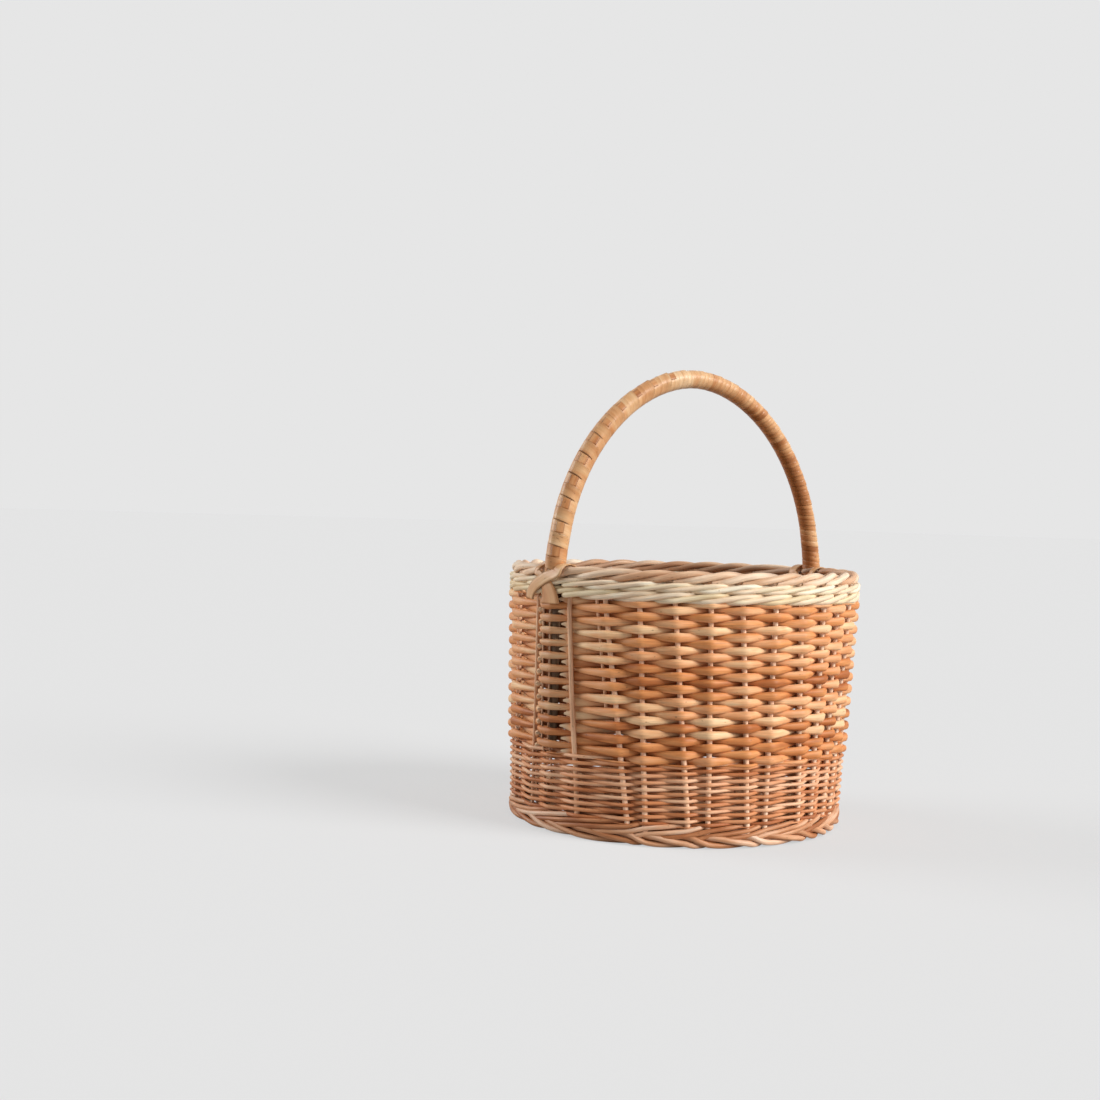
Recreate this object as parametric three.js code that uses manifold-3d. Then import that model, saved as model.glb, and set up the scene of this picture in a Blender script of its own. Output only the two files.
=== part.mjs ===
// A hand-woven willow basket with one arched handle wound with split willow.
// Millimetres, +Z up. The origin lies on the floor below the rim's middle, and the handle runs along X.
import * as THREE from "three";
import { mergeVertices } from "three/addons/utils/BufferGeometryUtils.js";
import Module from "manifold-3d";

// Driving sizes of the wall. Radii are to the middle of the wall, where the uprights stand.
const rimRadius = 150.5;
const wallFlare = 8.3; // how much smaller the wall's radius is at the floor
const footRadius = rimRadius - wallFlare;
const leanX = 3; // how far the rim's middle lies from the foot's middle
const leanY = -2.1;
const clearance = 0.3; // left between pieces that press on each other
const uprightCount = 32; // 30 stakes and the two ends of the handle
const stakeRadius = 2.75;

// The weave, from the floor up. A rod's height is measured up the wall and its width through the wall.
const footRodSize = 6; // across the corners of a strand of the two foot rolls
const standDepth = 0.8; // what the floor has worn flat under the lowest strands
const fineRows = 10;
const fineRodHeight = 3.7;
const fineRodWidth = 3.6;
const mainRows = 20;
const mainRodHeight = 5.8;
const mainRodWidth = 5;
const waleRodHeight = 2.8;
const waleRodWidth = 4.4;
const borderRodSize = 6;

// The base: crossed sticks, opened out like spokes, with two rods woven round them.
const stickRadius = 3;
const stickSpacing = 6.8;
const slathHalf = 17; // half the square where the sticks lie side by side
const spokeStart = 30; // where the opened sticks run straight out from the middle
const baseRodHeight = 4;
const baseRodWidth = 5.6;
const baseLift = 17; // height of the base's edge over the floor
const baseDome = 4;

// The handle.
const bowOffset = 10; // the handle's plane lies this far in front of the middle
const bowInset = 2; // how far the bow's sides stand in from the middle of the rim's wall
const bowHalfSpan = rimRadius - bowInset;
const bowHeight = 395.5; // floor to the middle of the bow at its top
const bowButtRadius = 7.5; // the rod's thick end, at the left
const bowTipRadius = 6.5;
const shoulderRise = 25; // over this rise the bow swings in from the rim to its full span
const tongueRadius = 3.3; // the shaved ends that go down into the wall
const tongueDepth = 150; // below the rim
const archFullness = 1.9; // 2 is an ellipse
const wrapThickness = 1.2;
const wrapTurns = 24;
const wrapGap = 0.5;
const lashingWidth = 6.5;
const lashingThickness = 1;
const lashingReach = 20; // how far each arm of the crossed lashings reaches along the rim
const lashingBesideWrap = 1.2; // left between a lashing and the winding, where both cross the border

const wasm = await Module();
wasm.setup();

const up = new THREE.Vector3(0, 0, 1);

// Heights, stacked from the floor.
const strandSpread = (size) => size / 2 + clearance / Math.sqrt(3);
const rollRadius = (size) => strandSpread(size) + size / 2;
// The roll's height over its middle at an upright, where one strand lies on top.
const rollOverUpright = (size) => rollRadius(size) * Math.sin(Math.PI / 3);
const lowerRollHeight = rollRadius(footRodSize) - standDepth;
const upperRollHeight = lowerRollHeight + 2 * rollRadius(footRodSize) + clearance;
const fineBottom = upperRollHeight + rollRadius(footRodSize) + clearance;
const rowPitch = (rodHeight) => rodHeight + clearance;
const bandHeight = (rows, rodHeight) => rows * rowPitch(rodHeight) + rodHeight;
const mainBottom = fineBottom + bandHeight(fineRows, fineRodHeight) + clearance;
const waleBottom = mainBottom + bandHeight(mainRows, mainRodHeight) + clearance;
const waleRise = rowPitch(waleRodHeight);
const waleRowPitch = 3 * waleRise;
const firstWaleHeight = waleBottom + waleRise + waleRodHeight / 2;
const waleTop = firstWaleHeight + waleRowPitch + waleRise + waleRodHeight / 2;
const borderHeight = waleTop + clearance + rollRadius(borderRodSize);
const rimHeight = borderHeight + rollRadius(borderRodSize);

// The azimuth of upright k, which may lie between two uprights. The handle's ends are number 0 and half way.
const bowAzimuth = Math.asin(bowOffset / rimRadius);
const halfCount = uprightCount / 2;
function uprightAzimuth(k) {
  const even = (k * 2 * Math.PI) / uprightCount;
  const near = ((k % uprightCount) + uprightCount) % uprightCount;
  const toFirst = Math.min(near, uprightCount - near);
  const toSecond = Math.abs(near - halfCount);
  return even - bowAzimuth * Math.max(0, 1 - toFirst) + bowAzimuth * Math.max(0, 1 - toSecond);
}
const isBowEnd = (k) => k % halfCount === 0;

// The leaning, slightly flared wall: its middle and radius at a height, and a point by its offset outward.
function wallCentre(height) {
  const below = 1 - height / rimHeight;
  return new THREE.Vector3(-leanX * below, -leanY * below, height);
}
const wallRadius = (height) => THREE.MathUtils.lerp(footRadius, rimRadius, height / rimHeight);
const outward = (azimuth) => new THREE.Vector3(Math.cos(azimuth), Math.sin(azimuth), 0);
function wallPoint(azimuth, height, offset) {
  return wallCentre(height).addScaledVector(outward(azimuth), wallRadius(height) + offset);
}

// Joins sections, each a ring of points, into one closed body. An open run gets flat ends.
function skin(sections, closed) {
  const sides = sections[0].length;
  const positions = sections.flatMap((section) => section.flatMap((point) => point.toArray()));
  const index = [];
  const spans = closed ? sections.length : sections.length - 1;
  for (let i = 0; i < spans; i++) {
    const here = i * sides;
    const next = ((i + 1) % sections.length) * sides;
    for (let j = 0; j < sides; j++) {
      const k = (j + 1) % sides;
      index.push(here + j, next + j, next + k);
      index.push(here + j, next + k, here + k);
    }
  }
  if (!closed) {
    const last = (sections.length - 1) * sides;
    for (let j = 1; j < sides - 1; j++) {
      index.push(0, j, j + 1);
      index.push(last, last + j + 1, last + j);
    }
  }
  const geometry = new THREE.BufferGeometry();
  geometry.setAttribute("position", new THREE.Float32BufferAttribute(positions, 3));
  geometry.setIndex(index);
  geometry.computeVertexNormals();
  return geometry;
}

// A ring of points round a centre: two directions with the half size along each.
function ring(centre, first, firstHalf, second, secondHalf, sides, turn = 0) {
  return Array.from({ length: sides }, (_, j) => {
    const angle = turn + (2 * Math.PI * j) / sides;
    return centre
      .clone()
      .addScaledVector(first, firstHalf * Math.cos(angle))
      .addScaledVector(second, secondHalf * Math.sin(angle));
  });
}

// The four corners of a flat strip.
function stripSection(centre, first, firstHalf, second, secondHalf) {
  return [[1, 1], [-1, 1], [-1, -1], [1, -1]].map(([a, b]) =>
    centre.clone().addScaledVector(first, a * firstHalf).addScaledVector(second, b * secondHalf),
  );
}

const willow = new THREE.MeshStandardMaterial({ color: 0xc98a55, roughness: 0.62, metalness: 0 });
const fineWillow = new THREE.MeshStandardMaterial({ color: 0xc68a60, roughness: 0.65, metalness: 0 });
const stakeWillow = new THREE.MeshStandardMaterial({ color: 0xd9ad84, roughness: 0.6, metalness: 0 });
const paleWillow = new THREE.MeshStandardMaterial({ color: 0xe6d6a4, roughness: 0.6, metalness: 0 });
const borderWillow = new THREE.MeshStandardMaterial({ color: 0xd6a47c, roughness: 0.6, metalness: 0 });
const splitWillow = new THREE.MeshStandardMaterial({ color: 0xe0a468, roughness: 0.45, metalness: 0 });
const bowWood = new THREE.MeshStandardMaterial({ color: 0x9a7d5c, roughness: 0.75, metalness: 0 });

const basket = new THREE.Group();
function add(name, geometry, material, parent = basket) {
  const mesh = new THREE.Mesh(geometry, material);
  mesh.name = name;
  parent.add(mesh);
  return mesh;
}

// How far from the middle of the wall a rod lies as it passes each upright, for its slope to clear the upright.
function passingOffsets(rodWidth) {
  const reach = (k) => (isBowEnd(k) ? tongueRadius : stakeRadius) + clearance;
  const spacing = (k) => (uprightAzimuth(k + 1) - uprightAzimuth(k)) * footRadius;
  const offsets = Array.from({ length: uprightCount }, (_, k) => reach(k) + rodWidth / 2);
  const at = (k) => offsets[(k + uprightCount) % uprightCount];
  const settlingPasses = 12;
  for (let pass = 0; pass < settlingPasses; pass++)
    for (let k = 0; k < uprightCount; k++) {
      const slopeAhead = (at(k) + at(k + 1)) / spacing(k);
      const slopeBehind = (at(k) + at(k - 1)) / spacing(k - 1);
      const slope = Math.max(slopeAhead, slopeBehind);
      offsets[k] = rodWidth / 2 + reach(k) * Math.hypot(1, slope);
    }
  return (k) => at(k % uprightCount);
}

// The section of a rod of the wall at upright k.
function rodSection(k, height, offset, rodHeight, rodWidth) {
  const azimuth = uprightAzimuth(k);
  const centre = wallPoint(azimuth, height, offset);
  return ring(centre, outward(azimuth), rodWidth / 2, up, rodHeight / 2, 4);
}

// A band of plain weave: two rods that chase each other round the wall, each outside every other upright.
function plainWeave(name, material, bottom, rows, rodHeight, rodWidth) {
  const offsetAt = passingOffsets(rodWidth);
  const group = new THREE.Group();
  basket.add(group);
  const steps = (rows / 2) * uprightCount;
  [0, halfCount].forEach((start, rod) => {
    const sections = Array.from({ length: steps + 1 }, (_, i) => {
      const k = start + i;
      const side = (k + rod) % 2 === 0 ? 1 : -1;
      const height = bottom + rodHeight / 2 + (rows * rowPitch(rodHeight) * i) / steps;
      return rodSection(k, height, side * offsetAt(k), rodHeight, rodWidth);
    });
    add(`${name}_rod_${rod + 1}`, skin(sections, false), material, group);
  });
}

// One row of waling: a rod that goes round three times, over two uprights and behind one.
function waleRow(name, height) {
  const offsetAt = passingOffsets(waleRodWidth);
  const strokes = [[1, -1], [1, 1], [-1, 0]]; // side of the wall, and level in the row
  const sections = Array.from({ length: 3 * uprightCount }, (_, k) => {
    const [side, level] = strokes[k % 3];
    const offset = side * offsetAt(k);
    return rodSection(k, height + level * waleRise, offset, waleRodHeight, waleRodWidth);
  });
  add(name, skin(sections, true), paleWillow);
}

// How far a border strand's middle lies from the middle of a bow end that it passes.
const strandPastBow = (size, bowEndRadius) => size / 2 + (bowEndRadius + clearance) * Math.SQRT2;

// A rolled edge: three strands, twisted round each other, which are one rod that goes round three times.
function rolledEdge(height, size, stepsPerUpright, twist, bowEndRadius) {
  const spread = strandSpread(size);
  const pastBow = strandPastBow(size, bowEndRadius);
  const count = 3 * uprightCount * stepsPerUpright;
  const sections = Array.from({ length: count }, (_, i) => {
    const k = 1 + i / stepsPerUpright;
    const azimuth = uprightAzimuth(k);
    const turn = (twist * 2 * Math.PI * (k + 0.5)) / 3;
    const across = spread * Math.cos(turn);
    const besideBow = bowEndRadius > 0 && isBowEnd(k);
    const offset = besideBow ? Math.sign(across) * pastBow : across;
    const centre = wallPoint(azimuth, height, offset).addScaledVector(up, spread * Math.sin(turn));
    return ring(centre, outward(azimuth), size / 2, up, size / 2, 4, turn);
  });
  return skin(sections, true);
}

// Joined vertices as a solid, and a solid's faces as a geometry.
function solidOf(geometry) {
  const bare = geometry.clone();
  bare.deleteAttribute("normal");
  bare.deleteAttribute("uv");
  const merged = mergeVertices(bare);
  const vertProperties = merged.attributes.position.array;
  const triVerts = new Uint32Array(merged.index.array);
  return new wasm.Manifold(new wasm.Mesh({ numProp: 3, vertProperties, triVerts }));
}
function geometryOf(solid) {
  const mesh = solid.getMesh();
  const geometry = new THREE.BufferGeometry();
  geometry.setAttribute("position", new THREE.Float32BufferAttribute(mesh.vertProperties, 3));
  geometry.setIndex(new THREE.Uint32BufferAttribute(mesh.triVerts, 1));
  geometry.computeVertexNormals();
  return geometry;
}

// The foot: an upper roll whose strands rise to the right, and a lower one whose strands fall to the right.
// The lower one stands on the floor.
function makeFoot() {
  const stepsPerUpright = 1.5;
  const upper = rolledEdge(upperRollHeight, footRodSize, stepsPerUpright, 1, 0);
  add("foot_roll_upper", upper, borderWillow);
  const lower = solidOf(rolledEdge(lowerRollHeight, footRodSize, stepsPerUpright, -1, 0));
  const span = 4 * rimRadius; // wider than the whole foot
  const floor = new THREE.BoxGeometry(span, span, rimHeight).translate(0, 0, -rimHeight / 2);
  add("foot_roll_lower", geometryOf(lower.subtract(solidOf(floor))), borderWillow);
}

// The stakes run up the middle of the wall from the foot to the border.
function makeStakes() {
  const group = new THREE.Group();
  basket.add(group);
  for (let k = 0; k < uprightCount; k++) {
    if (isBowEnd(k)) continue;
    const azimuth = uprightAzimuth(k);
    const along = new THREE.Vector3(-Math.sin(azimuth), Math.cos(azimuth), 0);
    const sides = 6;
    const lowest = upperRollHeight + rollOverUpright(footRodSize) + clearance;
    const highest = borderHeight - rollOverUpright(borderRodSize) - clearance;
    const sections = [lowest, highest].map((height) =>
      ring(wallPoint(azimuth, height, 0), along, stakeRadius, outward(azimuth), stakeRadius, sides),
    );
    const number = String(k).padStart(2, "0");
    add(`stake_${number}`, skin(sections, false), stakeWillow, group);
  }
}

// The base, inside the foot: eight sticks crossed four over four, and two rods woven round their ends.
const baseCentre = wallCentre(baseLift);
const baseRadius = wallRadius(baseLift) - rollRadius(footRodSize) - clearance;
const baseHeightAt = (radius) => baseDome * (1 - (radius / baseRadius) ** 2);
function basePoint(x, y, lift) {
  return new THREE.Vector3(x, y, baseHeightAt(Math.hypot(x, y)) + lift).add(baseCentre);
}
const sticksEachWay = 4;
const spokeCount = 4 * sticksEachWay;
const spokeAngle = (2 * Math.PI) / spokeCount;
function makeSticks() {
  for (const way of [0, 1])
    for (let n = 0; n < sticksEachWay; n++) {
      const place = n - (sticksEachWay - 1) / 2;
      const lift = (way === 0 ? 1 : -1) * (stickRadius + clearance / 2);
      const beside = place * stickSpacing;
      const opened = place * spokeAngle;
      const half = [
        [0, beside, lift],
        [slathHalf, beside, lift],
        [spokeStart * Math.cos(opened), spokeStart * Math.sin(opened), 0],
        [baseRadius * Math.cos(opened), baseRadius * Math.sin(opened), 0],
      ];
      const mirrored = half.slice(1).reverse().map(([x, y, z]) => [-x, y, z]);
      const line = [...mirrored, ...half];
      const run = line.map(([x, y, z]) => (way === 0 ? basePoint(x, y, z) : basePoint(-y, x, z)));
      const sides = 6;
      const sections = run.map((point, i) => {
        const ahead = run[Math.min(i + 1, run.length - 1)];
        const behind = run[Math.max(i - 1, 0)];
        const across = up.clone().cross(ahead.clone().sub(behind)).normalize();
        return ring(point, up, stickRadius, across, stickRadius, sides);
      });
      add(`base_stick_${way * sticksEachWay + n + 1}`, skin(sections, false), bowWood);
    }
}
function makeBaseWeave() {
  const first = spokeStart + baseRodWidth / 2;
  const woven = baseRadius - baseRodWidth / 2 - first;
  const turns = Math.floor(woven / (2 * (baseRodWidth + clearance)));
  const pitch = woven / (2 * turns);
  [0, spokeCount / 2].forEach((start, rod) => {
    const sections = Array.from({ length: turns * spokeCount + 1 }, (_, i) => {
      const spoke = start + i;
      const azimuth = (spoke + 0.5) * spokeAngle;
      const radius = first + (2 * pitch * i) / spokeCount;
      const slope = (2 * stickRadius + baseRodHeight) / (radius * spokeAngle);
      const passing = baseRodHeight / 2 + (stickRadius + clearance) * Math.hypot(1, slope) ** 2;
      const side = (spoke + rod) % 2 === 0 ? 1 : -1;
      const lift = side * passing;
      const centre = basePoint(radius * Math.cos(azimuth), radius * Math.sin(azimuth), lift);
      return ring(centre, outward(azimuth), baseRodWidth / 2, up, baseRodHeight / 2, 4);
    });
    add(`base_weave_rod_${rod + 1}`, skin(sections, false), willow);
  });
}

// The border's three strands part round each end of the handle.
function makeBorder() {
  const roll = rolledEdge(borderHeight, borderRodSize, 2, 1, tongueRadius);
  add("border_roll", roll, borderWillow);
}

// The bow's middle line: up the wall in place of an upright, over the arch, and down the other side.
const archSpring = rimHeight + clearance;
const archRise = bowHeight - archSpring;
function archPoint(share) {
  const angle = Math.PI * share;
  const across = Math.sign(Math.cos(angle)) * Math.abs(Math.cos(angle)) ** (2 / archFullness);
  const rise = Math.sin(angle) ** (2 / archFullness);
  const shoulder = wallPoint(uprightAzimuth(0), archSpring, 0);
  const swing = Math.min(1, (archRise * rise) / shoulderRise);
  const halfSpan = THREE.MathUtils.lerp(shoulder.x, bowHalfSpan, swing);
  return new THREE.Vector3(halfSpan * across, -bowOffset, archSpring + archRise * rise);
}
const archSteps = 30;
const archPoints = Array.from({ length: archSteps + 1 }, (_, i) => archPoint(i / archSteps));
const archCurve = new THREE.CatmullRomCurve3(archPoints, false, "centripetal");
const sideways = new THREE.Vector3(0, 1, 0);
const bowRadiusAt = (share) => THREE.MathUtils.lerp(bowTipRadius, bowButtRadius, share);

function makeBow() {
  const sides = 10;
  const levels = [rimHeight - tongueDepth, waleBottom, archSpring];
  const taperShares = [0.7, 1, 1];
  const tongue = (k) =>
    levels.map((height, i) => {
      const centre = wallPoint(uprightAzimuth(k), height, 0);
      const first = new THREE.Vector3(k === 0 ? -1 : 1, 0, 0);
      const radius = tongueRadius * taperShares[i];
      return ring(centre, first, radius, sideways, radius, sides);
    });
  const arch = archPoints.map((point, i) => {
    const first = archCurve.getTangent(i / archSteps).cross(sideways).normalize();
    const radius = bowRadiusAt(i / archSteps);
    return ring(point, first, radius, sideways, radius, sides);
  });
  const sections = [...tongue(0), ...arch, ...tongue(halfCount).reverse()];
  add("handle_bow", skin(sections, false), bowWood);
}

// The handle's winding: one flat strip of split willow, wound from end to end.
function makeWrap() {
  const stepsPerTurn = 8;
  const middleOver = (radius) => (radius + clearance + wrapThickness / 2) / Math.cos(Math.PI / stepsPerTurn);
  const length = archCurve.getLength();
  const pitch = length / (wrapTurns + 1);
  const tightest = bowHalfSpan / 2; // a safe measure of the arch's sharpest bend
  const width = pitch * (1 - middleOver(bowButtRadius) / tightest) - wrapGap;
  const steps = wrapTurns * stepsPerTurn;
  const sections = Array.from({ length: steps + 1 }, (_, i) => {
    const share = (pitch / 2 + (pitch * i) / stepsPerTurn) / length;
    const point = archCurve.getPointAt(share);
    const tangent = archCurve.getTangentAt(share);
    const first = sideways.clone().cross(tangent).normalize();
    const angle = (2 * Math.PI * i) / stepsPerTurn;
    const away = first.multiplyScalar(Math.cos(angle)).addScaledVector(sideways, Math.sin(angle));
    const centre = point.addScaledVector(away, middleOver(bowRadiusAt(share)));
    return stripSection(centre, away, wrapThickness / 2, tangent, width / 2);
  });
  let leastGap = Infinity;
  for (let i = 0; i + stepsPerTurn < sections.length; i++)
    for (const [front, back] of [[0, 3], [1, 2]]) {
      const gap = sections[i][front].distanceTo(sections[i + stepsPerTurn][back]);
      leastGap = Math.min(leastGap, gap);
    }
  console.log(`handle winding: least gap between turns ${leastGap.toFixed(2)} mm`);
  add("handle_wrap", skin(sections, false), splitWillow);
}

// Crossed lashings of split willow hold each end of the handle to the border and the waling.
function makeLashings() {
  const strandHalf = (borderRodSize / 2) * Math.cos(Math.PI / 6);
  const overBorder = strandPastBow(borderRodSize, tongueRadius) + strandHalf;
  const overWale = passingOffsets(waleRodWidth)(0) + waleRodWidth / 2;
  const underside = Math.max(overBorder, overWale) + clearance;
  const below = waleBottom - clearance;
  const besideWrap = bowButtRadius + wrapThickness + lashingBesideWrap + lashingWidth / 2;
  [0, halfCount].forEach((k, end) => {
    const azimuth = uprightAzimuth(k);
    const out = outward(azimuth);
    const along = up.clone().cross(out);
    [1, -1].forEach((slant, n) => {
      const lift = lashingThickness / 2 + n * (lashingThickness + clearance);
      const reach = underside + lift;
      const top = borderHeight + rollOverUpright(borderRodSize) + clearance + lift;
      const sideAt = (share) => slant * THREE.MathUtils.lerp(-lashingReach, besideWrap, share);
      const heightAt = (share) => THREE.MathUtils.lerp(below, borderHeight, share);
      const riseShares = [0, 0.35, 0.7, 1];
      const fallShares = [1, 0.7, 0.35, 0];
      // Each point of the strip: place along the rim, offset, height, and which way its face looks.
      const path = [
        ...riseShares.map((share) => [sideAt(share), reach, heightAt(share), 1, 0]),
        [sideAt(1), reach, top, 1, 1],
        [sideAt(1), -reach, top, -1, 1],
        ...fallShares.map((share) => [sideAt(share), -reach, heightAt(share), -1, 0]),
      ];
      const base = wallPoint(azimuth, borderHeight, 0).setZ(0);
      const points = path.map(([side, offset, height]) =>
        base.clone().addScaledVector(along, side).addScaledVector(out, offset).setZ(height),
      );
      const sections = points.map((point, i) => {
        const ahead = points[Math.min(i + 1, points.length - 1)];
        const behind = points[Math.max(i - 1, 0)];
        const [, , , outShare, upShare] = path[i];
        const away = out.clone().multiplyScalar(outShare).addScaledVector(up, upShare);
        const halfThickness = (lashingThickness / 2) * away.length();
        const across = away.clone().cross(ahead.clone().sub(behind)).normalize();
        return stripSection(point, away.normalize(), halfThickness, across, lashingWidth / 2);
      });
      add(`lashing_${end + 1}_${n + 1}`, skin(sections, false), splitWillow);
    });
  });
}

makeFoot();
makeStakes();
makeSticks();
makeBaseWeave();
plainWeave("fine_weave", fineWillow, fineBottom, fineRows, fineRodHeight, fineRodWidth);
plainWeave("main_weave", willow, mainBottom, mainRows, mainRodHeight, mainRodWidth);
waleRow("wale_row_lower", firstWaleHeight);
waleRow("wale_row_upper", firstWaleHeight + waleRowPitch);
makeBorder();
makeBow();
makeWrap();
makeLashings();

export default basket;
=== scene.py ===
import math
import random

import bpy
import numpy as np
from mathutils import Euler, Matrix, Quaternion, Vector


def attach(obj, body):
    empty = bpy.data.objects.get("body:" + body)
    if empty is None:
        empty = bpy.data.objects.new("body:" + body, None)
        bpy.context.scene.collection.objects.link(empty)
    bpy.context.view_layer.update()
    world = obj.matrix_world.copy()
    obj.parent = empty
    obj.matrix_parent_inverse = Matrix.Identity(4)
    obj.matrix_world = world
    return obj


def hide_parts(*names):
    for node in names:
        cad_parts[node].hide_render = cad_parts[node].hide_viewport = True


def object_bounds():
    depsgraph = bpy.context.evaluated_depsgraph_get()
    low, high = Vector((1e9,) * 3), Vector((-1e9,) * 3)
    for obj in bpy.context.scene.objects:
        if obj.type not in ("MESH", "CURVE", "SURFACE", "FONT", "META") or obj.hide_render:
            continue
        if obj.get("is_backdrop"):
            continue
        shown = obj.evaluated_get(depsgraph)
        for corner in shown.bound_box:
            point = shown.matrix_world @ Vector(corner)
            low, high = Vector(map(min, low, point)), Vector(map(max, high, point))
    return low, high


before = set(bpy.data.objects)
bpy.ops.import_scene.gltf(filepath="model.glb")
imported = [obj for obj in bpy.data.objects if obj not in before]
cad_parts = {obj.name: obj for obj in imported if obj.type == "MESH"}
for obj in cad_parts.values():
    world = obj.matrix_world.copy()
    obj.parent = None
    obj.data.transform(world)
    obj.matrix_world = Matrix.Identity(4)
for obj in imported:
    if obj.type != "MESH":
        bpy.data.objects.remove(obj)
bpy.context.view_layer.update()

# The stakes: thirty buff willow rods that stand in the wall from the foot to the border, in pairs where they
# leave the base and evenly at the rim. The wall that they make leans a little and is wider at the rim.
# Lengths here and below are in millimetres, in the CAD model's frame, and become metres in the mesh.
MM = 0.001
UP = np.array([0.0, 0.0, 1.0])
RIM_RADIUS, FOOT_RADIUS = 150.5, 142.2
RIM_HEIGHT = 227.84
LEAN = np.array([3.0, -2.1])
# The uprights are numbered round the wall. Number 0 and the one half way round are the handle's two ends.
UPRIGHTS = 32
HALF_LAP = UPRIGHTS // 2
BOW_ENDS = (0, HALF_LAP)
BOW_PLANE = -10.0
BOW_SHIFT = math.degrees(math.asin(-BOW_PLANE / RIM_RADIUS))
STAKE_DIAMETER = 4.5
STAKE_FOOT, STAKE_TOP = 10.0, 217.0
# How far, in degrees, each stake stands from an even spacing at the rim and at the floor. Those on the side
# that the photograph shows have their own values, and the others lean together in pairs towards the floor.
RIM_DRIFTS = {
    1: -6.95, 14: 1.4, 15: 7.0, 17: -0.3, 18: 1.2, 19: 2.4, 20: 1.7, 21: 2.3, 22: 0.6, 23: 1.5, 24: 0.0,
    25: 0.2, 26: -1.9, 27: 0.7, 28: -1.2, 31: -0.65,
}
FLOOR_DRIFTS = {
    1: -5.5, 14: -2.5, 15: 4.5, 17: 6.1, 18: 13.9, 19: 8.0, 20: 10.7, 21: 5.6, 22: 8.2, 23: 3.0, 24: 6.5,
    25: 2.3, 26: -0.6, 27: -6.2, 28: -1.0, 31: -2.0,
}
PAIR_SHIFT = 2.0
# How far the stakes lie out of the wall's middle: all of them a little, and more at the thin weave. The four
# beside the handle's ends stand out further above it. They are darker, and two of them are thinner.
STAKE_OFFSET, STAKE_PROUD, LOW_PROUD = 1.0, 0.8, 0.6
LOW_PROUD_FADE = (78.0, 66.0)
STAND_OUT = {1: 1.8, 15: 0.2, 17: 1.8, 31: 0.2}
STAND_OUT_START, STAND_OUT_END = (60.0, 80.0), (205.0, 191.0)
BESIDE_BOW_WIDTHS = {1: 0.95, 15: 0.66, 17: 0.95, 31: 0.66}
BESIDE_BOW_TONE = 0.12
# How far a rod's grain may be shifted, so that no two rods show the same streaks.
GRAIN_SHIFT = 50000
dice = random.Random(7)


def fade(value, start, end):
    """A share that is 0 up to start and 1 from end on. Start may be the higher of the two."""
    return np.clip((value - start) / (end - start), 0, 1)


def eased(share):
    return share * share * (3 - 2 * share)


def per_point(value, count):
    return np.broadcast_to(np.asarray(value, float), count)


def unit(vectors):
    return vectors / np.maximum(np.linalg.norm(vectors, axis=-1, keepdims=True), 1e-9)


def distances(line):
    """How far along a line each of its points lies."""
    return np.r_[0, np.cumsum(np.linalg.norm(np.diff(line, axis=0), axis=1))]


def smooth_noise(seed, count):
    """A closed run of random values from -1 to 1 that is read between its points."""
    draw = random.Random(seed)
    values = np.array([draw.uniform(-1, 1) for _ in range(count)])

    def read(place):
        place = np.asarray(place, float) % count
        low = np.floor(place).astype(int)
        share = eased(place - low)
        return values[low % count] * (1 - share) + values[(low + 1) % count] * share

    return read


def upright_azimuths():
    """Azimuth in degrees of each upright at the rim and at the floor, as a table for k from 0 to 32."""
    rim, floor = [], []
    for k in range(UPRIGHTS + 1):
        near = k % UPRIGHTS
        even = k * 360 / UPRIGHTS
        if near in BOW_ENDS:
            shift = -BOW_SHIFT if near == 0 else BOW_SHIFT
            rim.append(even + shift)
            floor.append(even + shift)
            continue
        pair = PAIR_SHIFT if near % 2 == 0 else -PAIR_SHIFT
        rim.append(even + RIM_DRIFTS.get(near, 0.0))
        floor.append(even + FLOOR_DRIFTS.get(near, pair))
    return np.array(rim), np.array(floor)


RIM_AZIMUTHS, FLOOR_AZIMUTHS = upright_azimuths()


def azimuth_at(k, height):
    """Azimuth in radians of upright k, which may lie between two, at a height."""
    k = np.asarray(k, float)
    lap = np.floor(k / UPRIGHTS)
    near = k - lap * UPRIGHTS
    numbers = np.arange(UPRIGHTS + 1)
    rim = np.interp(near, numbers, RIM_AZIMUTHS)
    floor = np.interp(near, numbers, FLOOR_AZIMUTHS)
    share = fade(np.asarray(height, float), 0, RIM_HEIGHT)
    return np.radians(floor + (rim - floor) * share + lap * 360)


def wall_point(azimuth, height, offset):
    """Points of the leaning, flared wall. The offset is outward from its middle."""
    azimuth, height, offset = np.broadcast_arrays(azimuth, height, offset)
    share = height / RIM_HEIGHT
    radius = FOOT_RADIUS + (RIM_RADIUS - FOOT_RADIUS) * share + offset
    x = LEAN[0] * (share - 1) + radius * np.cos(azimuth)
    y = LEAN[1] * (share - 1) + radius * np.sin(azimuth)
    return np.stack([x, y, height], axis=-1)


def round_wall(azimuth):
    """The level direction along the wall."""
    return np.stack([-np.sin(azimuth), np.cos(azimuth), 0 * azimuth], axis=-1)


def from_bow(k):
    """How many uprights k lies past the nearer end of the handle, below 0 where it lies before it."""
    return (k + HALF_LAP / 2) % HALF_LAP - HALF_LAP / 2


def new_bundle():
    """The points and faces of rods that share one mesh. Each point has its place in the rod's grain, the rod's
    tone, how much painted shade darkens it where it lies tucked in behind others or in shadow, and how far it
    is cut wood."""
    return {"points": [], "faces": [], "grain": [], "tone": [], "painted_shade": [], "cut": [], "count": 0}


def join_rings(bundle, count, sides, turned=False):
    """Faces between the rings of points that come next in a bundle."""
    for i in range(count - 1):
        here = bundle["count"] + i * sides
        following = here + sides
        for j in range(sides):
            k = (j + 1) % sides
            corners = (here + j, here + k, following + k, following + j)
            if turned:
                corners = (here + j, following + j, following + k, here + k)
            bundle["faces"].append(corners)


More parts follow.
